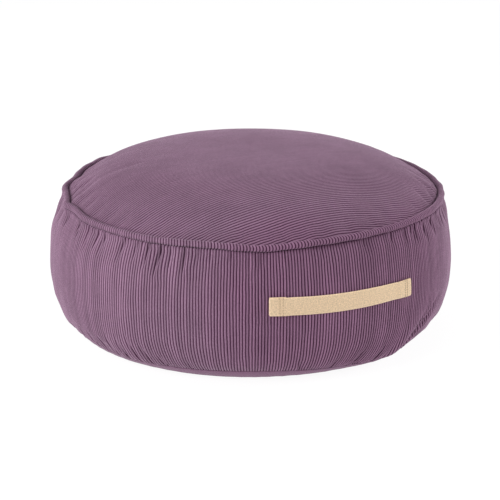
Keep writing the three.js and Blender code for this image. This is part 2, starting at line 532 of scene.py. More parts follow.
def crowded_ends(count, crowding=0.55):
    """Shares from 0 to 1, closer together at both ends."""
    even = np.linspace(0, 1, count)
    return (1 - crowding) * even + crowding * (1 - np.cos(np.pi * even)) / 2


def run_lengths(line):
    """Distance along a line of points, from its start."""
    steps = np.linalg.norm(np.diff(line, axis=0), axis=1)
    return np.concatenate([[0], np.cumsum(steps)])


def outward(points, wraps):
    """Unit normals of a grid of points, away from the middle of the pouf."""
    if wraps:
        across = np.roll(points, -1, 0) - np.roll(points, 1, 0)
    else:
        across = np.gradient(points, axis=0)
    normal = np.cross(across, np.gradient(points, axis=1))
    normal /= np.maximum(np.linalg.norm(normal, axis=-1, keepdims=True), 1e-12)
    middle = (0, 0, CROWN_HEIGHT / 2)
    if np.sum(normal * (points - middle)) < 0:
        normal = -normal
    return normal


# ---------------------------------------------------------------- ribs

# Where the points of one rib lie, as shares of its pitch, and how high each stands.
RIB_POINTS = np.array([0, 0.13, 0.36, 0.64, 0.87])


def rib_profile(share):
    """Height of a rib from 0 in the groove to 1 on its top."""
    return np.abs(np.sin(np.pi * share)) ** 0.7


def rib_lines(count):
    """Positions of all the columns of `count` ribs, counted in ribs, and their heights."""
    places = (np.arange(count)[:, None] + RIB_POINTS[None]).ravel()
    return places, rib_profile(places % 1)


# ---------------------------------------------------------------- meshes


def cell_corners(grid):
    """Values at the four corners of every cell of a grid."""
    return np.stack([grid[:-1, :-1], grid[1:, :-1], grid[1:, 1:], grid[:-1, 1:]], axis=2)


def strip_map(columns, rows, strips):
    """A map that lays the cells of a long grid in strips, one above another."""
    column, row = np.meshgrid(np.arange(columns + 1), np.arange(rows + 1), indexing="ij")
    corners = cell_corners(np.stack([column, row], -1).astype(float))
    per_strip = columns / strips
    strip = np.floor((np.arange(columns) + 0.5) / per_strip)[:, None, None]
    margin = 0.02
    across = (corners[..., 0] - strip * per_strip) / per_strip
    along = (strip + margin + (1 - 2 * margin) * corners[..., 1] / rows) / strips
    return np.stack([np.broadcast_to(across, along.shape), along], -1)


def grid_faces(columns, rows, wraps_across=False, wraps_along=False):
    """Corners of every cell of a grid of points, as numbers of points."""
    index = np.arange(columns * rows).reshape(columns, rows)
    if wraps_across:
        index = np.concatenate([index, index[:1]])
    if wraps_along:
        index = np.concatenate([index, index[:, :1]], axis=1)
    return cell_corners(index[..., None])[..., 0].reshape(-1, 4)


def build(name, points, faces, maps=(), painted_shade=None):
    """Makes an object from points and four-cornered faces. maps has a name and a pair of numbers
    for each corner of each face; tuck is painted shade for each point, darker the deeper it lies in a
    seam or crease."""
    mesh = bpy.data.meshes.new(name)
    mesh.vertices.add(len(points))
    mesh.vertices.foreach_set("co", points.astype(np.float32).ravel())
    mesh.loops.add(faces.size)
    mesh.loops.foreach_set("vertex_index", faces.astype(np.int32).ravel())
    mesh.polygons.add(len(faces))
    mesh.polygons.foreach_set("loop_start", np.arange(0, faces.size, 4, dtype=np.int32))
    mesh.update(calc_edges=True)
    for layer, values in maps:
        mesh.uv_layers.new(name=layer).uv.foreach_set("vector", values.astype(np.float32).ravel())
    if painted_shade is not None:
        shade = mesh.attributes.new("painted_shade", "FLOAT", "POINT")
        shade.data.foreach_set("value", painted_shade.astype(np.float32).ravel())
    mesh.shade_smooth()
    obj = bpy.data.objects.new(name, mesh)
    bpy.context.scene.collection.objects.link(obj)
    return obj


def build_panel(name, points, wraps, cloth=None, bake=None, painted_shade=None):
    """Makes an object from a grid of points whose faces look away from the middle of the pouf."""
    faces = grid_faces(*points.shape[:2], wraps)
    flat = points.reshape(-1, 3)
    first, second, last = (flat[faces[:, corner]] for corner in (0, 1, 3))
    out = outward(points, wraps).reshape(-1, 3)[faces[:, 0]]
    turn = -1 if np.sum(np.cross(second - first, last - first) * out) < 0 else 1
    maps = []
    if cloth is not None:
        maps = [
            ("Cloth", cell_corners(cloth).reshape(-1, 4, 2)[:, ::turn]),
            ("OFBake", bake.reshape(-1, 4, 2)[:, ::turn]),
        ]
    return build(name, flat, faces[:, ::turn], maps, painted_shade)


def finish_piece(obj, material, slot, *nodes):
    """Gives a piece its cloth, hangs it on the root body and hides the packed parts it stands for."""
    obj.data.materials.append(material)
    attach(obj, "root")
    if nodes:
        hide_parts(*nodes)
    return obj


# ---------------------------------------------------------------- materials


class Weaver:
    """Short ways to add and join the nodes of one material."""

    def __init__(self, name):
        self.material = bpy.data.materials.new(name)
        self.material.use_nodes = True
        self.tree = self.material.node_tree
        self.shader = self.tree.nodes["Principled BSDF"]

    def add(self, kind, *links, out=0, **settings):
        """Adds a node; links are (socket, value or other node's output)."""
        made = self.tree.nodes.new("ShaderNode" + kind)
        for key, value in settings.items():
            setattr(made, key, value)
        for socket, value in links:
            self.put(made.inputs[socket], value)
        return made.outputs[out]

    def put(self, socket, value):
        if isinstance(value, bpy.types.NodeSocket):
            self.tree.links.new(value, socket)
        else:
            socket.default_value = value

    def maths(self, operation, a, b=0.0):
        return self.add("Math", (0, a), (1, b), operation=operation)

    def between(self, value, low, high, start=0.0, end=1.0, kind="LINEAR"):
        return self.add(
            "MapRange",
            ("Value", value),
            ("From Min", low),
            ("From Max", high),
            ("To Min", start),
            ("To Max", end),
            interpolation_type=kind,
        )

    def noise(self, place, scale, detail=2.0, roughness=0.5):
        settings = (("Scale", scale), ("Detail", detail), ("Roughness", roughness))
        return self.add("TexNoise", ("Vector", place), *settings)

    def spread(self, noise, start, end):
        """Stretches a noise, most of which lies between 0.3 and 0.7, from start to end."""
        return self.between(noise, 0.3, 0.7, start, end)

    def product(self, first, *others):
        for other in others:
            first = self.maths("MULTIPLY", first, other)
        return first

    def mix(self, factor, first, second):
        made = self.tree.nodes.new("ShaderNodeMix")
        made.data_type = "RGBA"
        self.put(made.inputs["Factor"], factor)
        for socket, value in ((6, first), (7, second)):
            self.put(made.inputs[socket], value)
        return made.outputs[2]

    def scaled(self, colour, factor):
        return self.add("VectorMath", (0, colour), ("Scale", factor), operation="SCALE")

    def stretched(self, place, across, along):
        return self.add("VectorMath", (0, place), (1, (across, along, 1.0)), operation="MULTIPLY")

    def parts(self, place, count=2):
        """Splits a place into its first coordinates."""
        made = self.add("SeparateXYZ", (0, place)).node
        return made.outputs[:count]

    def finish(self, colour, roughness, relief, strength, depth, fixed):
        """Joins colour, roughness and relief to the shader; fixed holds its constant values."""
        self.put(self.shader.inputs["Base Color"], colour)
        self.put(self.shader.inputs["Roughness"], roughness)
        bump = self.add("Bump", ("Strength", strength), ("Distance", depth), ("Height", relief))
        self.put(self.shader.inputs["Normal"], bump)
        for name, value in fixed.items():
            self.shader.inputs[name].default_value = value
        return self.material


def rgba(colour):
    return (*colour, 1.0)


CORDUROY_PILE = {
    "Specular IOR Level": 0.15,
    "Sheen Weight": 0.4,
    "Sheen Roughness": 0.3,
    "Sheen Tint": (1.0, 0.81, 0.96, 1),
}
BOTTOM_FINISH = {"Specular IOR Level": 0.2, "Sheen Weight": 0.2, "Sheen Roughness": 0.5}
TAPE_FINISH = {"Specular IOR Level": 0.2, "Sheen Weight": 0.15, "Sheen Roughness": 0.5}
# Painted shade: where the cloth faces the front right it is coloured darker and more saturated,
# standing in for the pile's weaker sheen on that side.
SHADED_SIDE_FACING = (0.45, -0.893, 0.0)


def corduroy_cloth(looks):
    """Ribbed cotton velvet: brushed ridges; grooves coloured dark, partly for the ground weave and
    partly as painted shade; painted shade in soft-edged patches on the side that faces the front right;
    and painted shade from the tuck attribute.
    """
    w = Weaver("brushed_corduroy")
    place = w.add("UVMap", uv_map="Cloth")
    rib = w.parts(place)[0]
    body = w.add("TexCoord", out=3)
    height = w.parts(body, 3)[2]
    fibres = w.noise(w.stretched(place, 5.0, 1.3), 1.0, 3.0, 0.6)
    pile = w.noise(w.stretched(place, 14.0, 9.0), 1.0, 2.0, 0.7)
    patches = w.noise(body, 9.0, 2.0)
    marks = w.noise(body, 42.0, 3.0)

    # Each rib of the band has its own shade, and those of the top hardly differ.
    own = w.add("TexWhiteNoise", ("W", w.maths("FLOOR", rib)), noise_dimensions="1D")
    differ = w.between(height, 0.168, 0.176, 0.11, 0.03)
    own = w.maths("MULTIPLY", w.between(own, 0, 1, -1, 1), differ)
    light = w.product(
        w.spread(fibres, 0.82, 1.18),
        w.maths("ADD", own, 1.0),
        w.spread(patches, 0.94, 1.06),
        w.spread(marks, 0.95, 1.05),
    )

    # Painted shade: on the side that faces the front right, the colours mix towards the darker, more
    # saturated pair.
    facing = w.add("VectorMath", (0, body), (1, SHADED_SIDE_FACING), operation="DOT_PRODUCT", out=1)
    facing = w.maths("ADD", facing, w.spread(patches, -0.02, 0.02))
    shaded_side = w.between(facing, 0.16, 0.245, kind="SMOOTHSTEP")
    # Grooves are coloured dark partly for the ground weave and partly as painted shade; the tuck
    # attribute adds painted shade in seams, creases and under the piping, mixed in the same way.
    off_ridge = w.maths("ABSOLUTE", w.maths("SUBTRACT", w.maths("FRACT", rib), 0.5))
    groove = w.between(w.maths("MULTIPLY", off_ridge, 2.0), 0.32, 0.95, kind="SMOOTHSTEP")
    painted_shade = w.add("Attribute", attribute_name="painted_shade", out=2)
    shadow = w.maths("MAXIMUM", groove, w.maths("MULTIPLY", painted_shade, 0.62))
    ridge = w.mix(shaded_side, rgba(looks.ridge_colour), rgba(looks.shaded_side_colour))
    valley = w.mix(shaded_side, rgba(looks.groove_colour), rgba(looks.shaded_side_groove_colour))
    colour = w.scaled(w.mix(shadow, ridge, valley), light)
    relief = w.maths("ADD", pile, fibres)
    return w.finish(colour, w.spread(fibres, 0.82, 0.96), relief, 0.35, 0.4 * MM, CORDUROY_PILE)


def plain_cloth(looks):
    """The smooth, closely woven bottom cloth."""
    w = Weaver("woven_bottom_cloth")
    body = w.add("TexCoord", out=3)
    yarns = 2 * math.pi / (0.7 * MM)
    weave = w.product(*(w.maths("SINE", w.maths("MULTIPLY", part, yarns)) for part in w.parts(body)))
    mottle = w.noise(body, 60.0, 4.0)
    wear = w.noise(body, 7.0, 2.0)
    painted_shade = w.add("Attribute", attribute_name="painted_shade", out=2)
    # The tuck attribute darkens the cloth with painted shade; the rest is its own mottle, weave and
    # wear.
    light = w.product(
        w.spread(mottle, 0.94, 1.06),
        w.between(weave, -1, 1, 0.93, 1.05),
        w.spread(wear, 0.95, 1.05),
        w.between(painted_shade, 0, 1, 1.0, 0.45),
    )
    colour = w.scaled(tuple(looks.bottom_colour), light)
    relief = w.maths("ADD", weave, mottle)
    return w.finish(colour, w.spread(mottle, 0.78, 0.9), relief, 0.3, 0.2 * MM, BOTTOM_FINISH)


def tape_cloth(tape):
    """Undyed cotton webbing: speckled yarns and paler edges."""
    w = Weaver("cotton_webbing")
    place = w.add("UVMap", uv_map="Cloth")
    across, along = w.parts(place)
    warp = w.maths("SINE", w.maths("MULTIPLY", across, math.pi * 22))
    weft = w.maths("SINE", w.maths("MULTIPLY", along, math.pi))
    weave = w.maths("MULTIPLY", warp, weft)
    edge = w.between(w.maths("ABSOLUTE", across), 0.84, 0.94, kind="SMOOTHSTEP")
    speckle = w.noise(w.stretched(place, 7.0, 0.6), 1.0, 3.0, 0.7)
    slubs = w.noise(w.stretched(place, 9.0, 0.25), 1.0, 2.0, 0.5)
    light = w.product(
        w.between(speckle, 0.35, 0.65, 0.79, 1.15),
        w.between(weave, -1, 1, 0.93, 1.05),
        w.spread(slubs, 0.95, 1.05),
        w.between(edge, 0, 1, 1.0, 1.16),
    )
    colour = w.scaled(tuple(tape.colour), light)
    relief = w.maths("ADD", speckle, weave)
    return w.finish(colour, w.spread(speckle, 0.8, 0.95), relief, 0.4, 0.3 * MM, TAPE_FINISH)


def sewing_thread(tape):
    """Twisted thread, a little darker than the tape."""
    w = Weaver("cotton_thread")
    around, along = w.parts(w.add("UVMap", uv_map="Cloth"))
    turns = w.maths("ADD", w.maths("MULTIPLY", around, 9.0), w.maths("MULTIPLY", along, 12.0))
    twist = w.maths("SINE", turns)
    colour = w.scaled(tuple(tape.colour), w.between(twist, -1, 1, 0.50, 0.72))
    return w.finish(colour, 0.7, twist, 0.4, 0.1 * MM, {})


def corduroy(scene):
    """The one corduroy that three pieces share, made the first time it is asked for."""
    made = bpy.data.materials.get("brushed_corduroy")
    return made or corduroy_cloth(scene.pouf_corduroy)


# ---------------------------------------------------------------- filling

FILLING_FRAMES = 20
MOST_MOVE = 3.5 * MM
# How much longer the cloth is than its seam where it is fullest.
EASE = 0.06
# Columns round the pouf of the coarse cloths that are filled, and rings of the top one.
BAND_CLOTH_COLUMNS, TOP_CLOTH_COLUMNS, TOP_CLOTH_RINGS = 320, 360, 36


def weigh(obj, name, values):
    """Gives an object a vertex group from an array of weights."""
    group = obj.vertex_groups.new(name=name)
    levels = np.round(values.ravel(), 2)
    for level in np.unique(levels):
        group.add(np.nonzero(levels == level)[0].tolist(), float(level), "REPLACE")


def stuffed(points, held, ease):
    """Fills a round grid of cloth from inside and returns how far each point moves.
    held is 1 where the cloth is sewn down, and ease is 1 where it is fullest for its seam."""
    cover = build_panel("filling", points, True)
    weigh(cover, "held", held)
    weigh(cover, "taut", 1 - ease)
    filling = cover.modifiers.new("filling", "CLOTH")
    filling.collision_settings.use_collision = False
    filling.point_cache.frame_end = FILLING_FRAMES
    cloth = filling.settings
    cloth.quality = 5
    cloth.mass = 0.3
    cloth.tension_stiffness = cloth.compression_stiffness = 15
    cloth.shear_stiffness = 5
    cloth.bending_stiffness = 5
    cloth.tension_damping = cloth.compression_damping = cloth.shear_damping = 25
    cloth.use_pressure = True
    cloth.uniform_pressure_force = 4
    cloth.effector_weights.gravity = 0
    cloth.vertex_group_mass = "held"
    cloth.vertex_group_shrink = "taut"
    cloth.shrink_min = -EASE
    cloth.shrink_max = 0
    scene = bpy.context.scene
    for frame in range(1, FILLING_FRAMES + 1):
        scene.frame_set(frame)
    shaped = cover.evaluated_get(bpy.context.evaluated_depsgraph_get())
    moved = np.empty(points.size, np.float32)
    shaped.data.vertices.foreach_get("co", moved)
    bpy.data.objects.remove(cover)
    scene.frame_set(1)
    moved = moved.reshape(points.shape) - points
    far = np.linalg.norm(moved, axis=-1, keepdims=True)
    return moved * np.minimum(1, MOST_MOVE / np.maximum(far, 1e-9))


def sampled(grid, azimuth, row):
    """Values of a grid that runs evenly round from -180 degrees, at any azimuth and row."""
    around = (azimuth + 180) / 360 * len(grid)
    column, low = np.floor(around).astype(int), np.floor(row).astype(int)
    high = np.minimum(low + 1, grid.shape[1] - 1)
    across, along = (around - column)[..., None], (row - low)[..., None]
    left, right = column % len(grid), (column + 1) % len(grid)
    below = grid[left, low] * (1 - across) + grid[right, low] * across
    above = grid[left, high] * (1 - across) + grid[right, high] * across
    return below * (1 - along) + above * along


# ---------------------------------------------------------------- pieces


def puckering(azimuth, away, table, radius):
    """How far the narrow puckers draw the band in, `away` metres from their seam,
    and by how many degrees the ribs beside them bunch."""
    total = np.zeros(azimuth.shape)
    bunched = np.zeros(azimuth.shape)
    for middle, lean, depth, width, length in table:
        length = length * MM
        share = np.clip(away / length, 0, 1)
        beside = turn_between(azimuth, middle + lean * share)
        # A pucker widens by 0.6 of its width along its run, and a leaning one is cut at a slant.
        slant = math.hypot(1, math.radians(lean) * radius / length)
        off = np.radians(beside) * radius / (width * MM * (1 + 0.6 * share) * slant)
        fade = smoothstep(away, -4 * MM, 3 * MM) * (1 - smoothstep(away, length / 2, length))
        total += depth * MM * fade * trough(off)
        bunched -= np.clip(0.14 * depth, -0.1, 0.4) * fade * beside * bell(off / 1.8)
    return total, bunched


def band_surface(sizes, line, from_low, from_high, azimuth):
    """Points of the band without its ribs, and how far creases draw each one in."""
    high_pull, high_bunch = puckering(azimuth, from_high, UPPER_PUCKERS, sizes.full_radius)
    low_pull, low_bunch = puckering(azimuth, from_low, LOWER_PUCKERS, sizes.full_radius)
    points = settle(sizes, turned(line, azimuth + high_bunch + low_bunch))
    pull = high_pull + low_pull
    points[..., :2] *= (1 - pull / np.hypot(points[..., 0], points[..., 1]))[..., None]
    return points, pull


def ease_along(table, azimuth):
    """How full the cloth is for its seam, from 0 to 1, at each azimuth."""
    total = 0.12
    for middle, amount, spread in table:
        total = total + amount * bell(turn_between(azimuth, middle) / spread)
    return np.clip(total, 0, 1)


def stuffed_band(sizes, tape, outline):
    """How far the filling moves the band, as a grid of azimuths and outline points."""
    columns = BAND_CLOTH_COLUMNS
    azimuth = (np.arange(columns) / columns * 360 - 180)[:, None] + 0 * outline[None, :, 0]
    run = run_lengths(outline)
    from_low, from_high = run, run[-1] - run
    points, _ = band_surface(sizes, outline, from_low, from_high, azimuth)
    held = np.zeros(azimuth.shape)
    held[:, [0, -1]] = 1
    off_middle = np.abs(turn_between(azimuth, math.degrees(tape.azimuth)))
    beside = off_middle * math.radians(1) * sizes.full_radius
    above = np.abs(outline[None, :, 1] - tape.height)
    margin = 6 * MM
    under_tape = (beside < tape.length / 2 + margin) & (above < tape.width / 2 + margin)
    held[under_tape] = 1
    fade = 40 * MM
    ease = ease_along(UPPER_EASE, azimuth) * (1 - smoothstep(from_high, 0, fade))
    ease = ease + ease_along(LOWER_EASE, azimuth) * (1 - smoothstep(from_low, 0, fade))
    moved = stuffed(points, held, np.where(under_tape, 0, ease))
    # Only the unevenness is kept: the band has its full girth already.
    angle = np.radians(azimuth)
    out = np.stack([np.sin(angle), -np.cos(angle), 0 * angle], -1)
    swollen = np.sum(moved * out, -1, keepdims=True).mean(0, keepdims=True)
    return moved - swollen * out * (1 - held[..., None])


def swayed(azimuths, from_low, wander):
    """Azimuths of every rib along the band, with their small wander and their sway at the foot."""
    fan = (azimuths[:, None] + np.degrees(wander) + 180) % 360 - 180
    for middle, degrees, length, spread in LOWER_SWAY:
        near = 1 - smoothstep(from_low, -4 * MM, length * MM)
        fan = fan + degrees * bell(turn_between(fan, middle) / spread) * near
    return fan


def make_side_band(sizes, looks, tape):
    """The band: upright ribs on the filled cloth, gathered and puckered at both seams."""
    places, heights = rib_lines(looks.band_wales)
    azimuths = 180 + places * 360 / looks.band_wales
    outline = bezier(band_corners(sizes), crowded_ends(BAND_ROWS))
    low_hem, high_hem = np.array(BAND_LOWER_HEM) * MM, np.array(BAND_UPPER_HEM) * MM
    line = np.concatenate([outline[0] + low_hem, outline, outline[-1] + high_hem])
    first, last = len(low_hem), len(low_hem) + len(outline) - 1
    run = run_lengths(line)
    from_low, from_high = run - run[first], run[last] - run
    up = line[None, :, 1]

    wander = ripple(azimuths[:, None], up, waves=(20, 75), seed=11, size=0.22 * MM)
    fan = swayed(azimuths, from_low, wander / sizes.full_radius)
    points, pull = band_surface(sizes, line, from_low, from_high, fan)
    row = np.clip(np.arange(len(line)) - first, 0, len(outline) - 1)
    moved = sampled(stuffed_band(sizes, tape, outline), fan, row[None] + 0 * fan)
    points = points + moved
    angle = np.radians(fan)
    pull = pull - moved[..., 0] * np.sin(angle) + moved[..., 1] * np.cos(angle)

    # The cloth puffs up against the piping, except at the front right, where it hangs clear.
    clear = 0.2 + 0.8 * bell(turn_between(fan, 24) / 20)
    puffed = (1 - clear) * bell((from_high[None] - 2.5 * MM) / (3.5 * MM))
    points[..., :2] *= (1 + PUFF_OUT * puffed / sizes.full_radius)[..., None]
    points[..., 2] += PUFF_UP * puffed
    soft = ripple(fan, up, waves=(12, 40), seed=5, size=0.30 * MM)
    inward = np.minimum(smoothstep(from_low, 0, 10 * MM), smoothstep(from_high, 0, 10 * MM))
    points[..., :2] *= (1 - soft * inward[None] / sizes.full_radius)[..., None]
    depth = looks.groove_depth * (1 + ripple(fan, up, waves=(8, 60), seed=17, size=0.12))
    points = points + outward(points, True) * ((heights[:, None] - 1) * depth)[..., None]

    # Painted shade: in the grooves at the lower seam, in a band under the piping (strongest at the
    # front right, where the cloth hangs clear) and in the creases, by how far they draw the cloth in.
    in_groove = 1 - 0.7 * heights[:, None]
    low_seam_shade = 0.7 * (1 - smoothstep(from_low, -2 * MM, 2.5 * MM))[None] * in_groove
    piping_shadow = (1 - smoothstep(from_high, -2 * MM, 7.5 * MM))[None] * clear
    crease = 0.5 * np.clip(pull / (4 * MM), 0, 1)
    painted_shade = np.maximum(np.maximum(low_seam_shade, piping_shadow), crease)
    ends = np.append(places, looks.band_wales)
    pitch = 2 * np.pi * sizes.full_radius / looks.band_wales
    cloth = np.stack(np.broadcast_arrays(ends[:, None], (run / pitch)[None]), -1)
    bake = strip_map(len(places), len(line) - 1, strips=5)
    return build_panel("side_band_cover", points, True, cloth, bake, painted_shade)


def flat_crown(sizes):
    """Distances along the crown from its middle, and the radius at each."""
    radius = np.linspace(0, sizes.crown_edge_radius, MEASURE_STEPS)
    line = np.stack([radius, crown_height_at(sizes, radius)], -1)
    return run_lengths(line), radius


def crown_surface(sizes, distance, direction):
    """Points of the top panel without its ribs, at each distance over the flat cut from its middle
    and each direction from +X."""
    flat, radii = flat_crown(sizes)
    over = np.maximum(distance - flat[-1], 0)
    radius = np.interp(distance, flat, radii)
    full = 1.8 * MM * smoothstep(distance, flat[-1] - 26 * MM, flat[-1] - 3 * MM)
    # Past the seam, the hem turns down and a little out.
    height = crown_height_at(sizes, radius) + full - over * 0.9
    hemmed = radius + over * 0.25
    x, y = hemmed * np.cos(direction), hemmed * np.sin(direction)
    points = settle(sizes, np.stack([x, y, height], -1))
    x, y = points[..., 0], points[..., 1]
    sink = np.zeros(x.shape)
    for x0, y0, x1, y1, depth, width in CROWN_FOLDS:
        run = np.array([x1 - x0, y1 - y0]) * MM
        long = np.linalg.norm(run)
        from_x, from_y = x - x0 * MM, y - y0 * MM
        step = (from_x * run[0] + from_y * run[1]) / long**2
        widened = width * MM * (1 + 0.5 * np.clip(step, 0, 1))
        off = (from_x * run[1] - from_y * run[0]) / long / widened
        fade = smoothstep(step, -0.15, 0.15) * (1 - smoothstep(step, 0.4, 1.2))
        sink += depth * MM * fade * trough(off)
    azimuth = np.degrees(np.arctan2(x, -y))
    rim = smoothstep(radius, sizes.crown_edge_radius - 50 * MM, sizes.crown_edge_radius - 4 * MM)
    sink += rim * ripple(azimuth, 0 * x, waves=(24, 60), seed=31, size=0.3 * MM)
    sink += ripple(x * 400, y, waves=(2, 8), seed=37, size=0.25 * MM)
    points[..., 2] -= sink
    return points


def stuffed_crown(sizes):
    """How far the filling moves the top panel, as a grid of azimuths and even rings."""
    columns, rings = TOP_CLOTH_COLUMNS, TOP_CLOTH_RINGS
    edge = flat_crown(sizes)[0][-1]
    distance = np.linspace(edge / rings, edge, rings)[None] + np.zeros((columns, 1))
    azimuth = (np.arange(columns) / columns * 360 - 180)[:, None] + 0 * distance
    points = crown_surface(sizes, distance, np.radians(azimuth - 90))
    held = np.zeros(distance.shape)
    held[:, -1] = 1
    ease = ease_along(CROWN_EASE, azimuth) * smoothstep(distance, edge - 45 * MM, edge - 4 * MM)
    moved = stuffed(points, held, ease)
    moved[..., 2] -= moved[..., 2].mean(0, keepdims=True)
    return moved, edge / rings


def make_top_panel(sizes, looks):
    """The crown: straight ribs cut off by the round seam."""
    edge = flat_crown(sizes)[0][-1]
    reach = edge + 2.5 * MM
    count = int(2 * reach / looks.top_pitch)
    places, heights = rib_lines(count)
    places, heights = np.append(places, count), np.append(heights, 0)
    # Each column runs along its rib from rim to rim, its points closer together at both ends.
    # The first and last stop just short of the rim, so that they keep some length.
    offset = (places / count * 2 - 1) * reach * 0.99995
    half = np.sqrt(reach**2 - offset**2)
    even = np.linspace(-1, 1, TOP_RIB_ROWS)
    along = half[:, None] * (0.72 * even + 0.28 * np.sin(np.pi / 2 * even))[None]
    across = np.broadcast_to(offset[:, None], along.shape)
    wander = ripple(along / reach * 90, across, waves=(2, 9), seed=23, size=0.5 * MM)
    across = across + wander * (1 - smoothstep(np.hypot(along, across), reach * 0.9, reach))
    distance = np.hypot(along, across)
    direction = np.arctan2(across, along) + looks.top_turn

    points = crown_surface(sizes, distance, direction)
    moved, ring = stuffed_crown(sizes)
    azimuth = (np.degrees(direction) + 90 + 180) % 360 - 180
    points = points + sampled(moved, azimuth, np.clip(distance / ring - 1, 0, moved.shape[1] - 1))
    uneven = ripple(points[..., 0] * 300, points[..., 1], waves=(3, 18), seed=41, size=0.12)
    depth = looks.groove_depth * (1 + uneven)
    points = points + outward(points, False) * ((heights[:, None] - 1) * depth)[..., None]

    # Painted shade darkens the hem under the piping and a strip of the top beside it, most at the front
    # left.
    hidden = smoothstep(distance, edge, edge + 2 * MM)
    sewn = 0.1 + 0.5 * bell(turn_between(azimuth, -56) / 26)
    painted_shade = hidden + sewn * smoothstep(distance, edge - 5.5 * MM, edge - 1.5 * MM)
    place = np.broadcast_to(places[:, None], along.shape)
    cloth = np.stack([place, (along + reach) / looks.top_pitch], -1)
    bake = strip_map(len(places) - 1, len(even) - 1, strips=1)
    return build_panel("top_panel_cover", points, False, cloth, bake, np.clip(painted_shade, 0, 1))


def make_top_piping(sizes, looks):
    """The cord in the top seam, wrapped in the same corduroy."""
    places, heights = rib_lines(looks.piping_wales)
    azimuths = 180 + places * 360 / looks.piping_wales
    wale_pitch = 3.6 * MM
    turns = np.linspace(0, 2 * np.pi, PIPING_SIDES + 1)
    slack = ripple(azimuths[:, None], 0 * turns[None], waves=(9, 50), seed=53, size=0.3 * MM)
    thick = sizes.piping_radius - 0.1 * MM + 0.6 * slack
    thick = thick - 0.9 * looks.groove_depth * (1 - heights[:, None])
    # The wrapped cloth is cut on the slant, so its ribs lean a little.
    lean = np.degrees(0.35 * sizes.piping_radius * np.cos(turns) / sizes.piping_line_radius)
    angle = np.radians(azimuths[:, None] + lean[None])
    radius = sizes.piping_line_radius + slack + thick * np.cos(turns)[None]
    height = sizes.piping_line_height + 0.4 * slack + thick * np.sin(turns)[None]
    points = np.stack([radius * np.sin(angle), -radius * np.cos(angle), height], -1)
    grid = settle(sizes, points)[:, :-1]

    # Painted shade on the underside of the piping and on its inner side, towards the top panel.
    underneath = 0.06 * smoothstep(-np.sin(turns + 0.5), 0.5, 1.0)[:-1]
    inner = 0.2 * smoothstep(-np.cos(turns), 0.35, 0.95)[:-1]
    painted_shade = np.broadcast_to(np.maximum(underneath, inner)[None], grid.shape[:2])
    ends = np.append(places, looks.piping_wales)
    round_cord = turns * sizes.piping_radius / wale_pitch
    cloth = np.stack(np.broadcast_arrays(ends[:, None], round_cord[None]), -1)
    bake = strip_map(len(places), PIPING_SIDES, strips=15)
    maps = [("Cloth", cell_corners(cloth).reshape(-1, 4, 2)), ("OFBake", bake.reshape(-1, 4, 2))]
    faces = grid_faces(len(places), PIPING_SIDES, True, True)
    return build("top_piping_cover", grid.reshape(-1, 3), faces, maps, painted_shade)


def make_bottom_panel(sizes):
    """The plain underside, flat on the floor and rolled up to the lower seam."""
    azimuths = np.linspace(-180, 180, BOTTOM_COLUMNS + 1)[:-1]
    roll = bezier(roll_corners(sizes), np.linspace(0, 1, ROLL_ROWS))
    rings = np.linspace(0.1 * MM, sizes.foot_radius, FLAT_ROWS)[:-1]
    flat = np.stack([rings, 0 * rings], -1)
    line = np.concatenate([flat, roll, roll[-1] + np.array(BOTTOM_HEM) * MM])
    points = settle(sizes, turned(line, azimuths))
    azimuth = azimuths[:, None] + 0 * line[None, :, 0]
    near = smoothstep(line[:, 0], sizes.foot_radius - 10 * MM, sizes.foot_radius + 20 * MM)
    slack = near[None] * ripple(azimuth, 0 * azimuth, waves=(18, 48), seed=61, size=0.3 * MM)
    points[..., 2] += np.abs(slack) + 0.05 * MM

    run = run_lengths(line)
    # Painted shade darkens the cloth where it turns up from the floor, in place of the floor's contact
    # shadow, and where it is sewn.
    floor_shadow = smoothstep(line[:, 0], sizes.foot_radius + 9 * MM, sizes.foot_radius + 18 * MM)
    floor_shadow = 0.85 * floor_shadow * (1 - smoothstep(line[:, 1], 0.5 * MM, 6.5 * MM))
    sewn = smoothstep(run, run[-4] - 1 * MM, run[-2])
    painted_shade = np.broadcast_to(np.maximum(sewn, floor_shadow)[None], azimuth.shape)
    around = np.linspace(0, 1, BOTTOM_COLUMNS + 1)[:, None]
    cloth = np.stack(np.broadcast_arrays(around, run[None] / MM), -1)
    plan = np.concatenate([points, points[:1]])[..., :2]
    bake = cell_corners(plan / (2.2 * sizes.full_radius) + 0.5)
    return build_panel("bottom_panel_cover", points, True, cloth, bake, painted_shade)


def band_radius_at(sizes, height):
    """Radius of the even band at each height."""
    outline = bezier(band_corners(sizes), np.linspace(0, 1, MEASURE_STEPS))
    return np.interp(height, outline[:, 1], outline[:, 0])


def on_band(sizes, tape, along, above, height):
    """Points beside the middle of the tape, `above` the belly of the band."""
    radius = band_radius_at(sizes, height) + above
    angle = tape.azimuth + along / sizes.full_radius
    return np.stack([radius * np.sin(angle), -radius * np.cos(angle), height], -1)


def tape_path(tape):
    """Middle line of the tape, seen from above as (along, out), from fold to fold."""
    half, layer = tape.length / 2, tape.thickness
    bend = layer / 2 + 0.1 * MM
    low = TAPE_LIFT + layer / 2
    high = low + 2 * bend
    turn = np.linspace(-np.pi / 2, np.pi / 2, 9)
    tip = half - bend - layer / 2
    fold = np.stack([np.linspace(half - tape.fold, tip, 24)[:-1], np.full(23, low)], -1)
    end = np.stack([tip + bend * np.cos(turn), low + bend + bend * np.sin(turn)], -1)
    steps = int(tape.length / tape.yarn * 2) // 2
    along = np.linspace(tip, 0, steps)[1:]
    settled = smoothstep(along, half - tape.fold - 10 * MM, half - tape.fold + 4 * MM)
    run = np.stack([along, low + (high - low) * settled], -1)
    right = np.concatenate([fold, end, run])
    left = right[::-1][1:] * np.array([-1, 1])
    return np.concatenate([right, left])


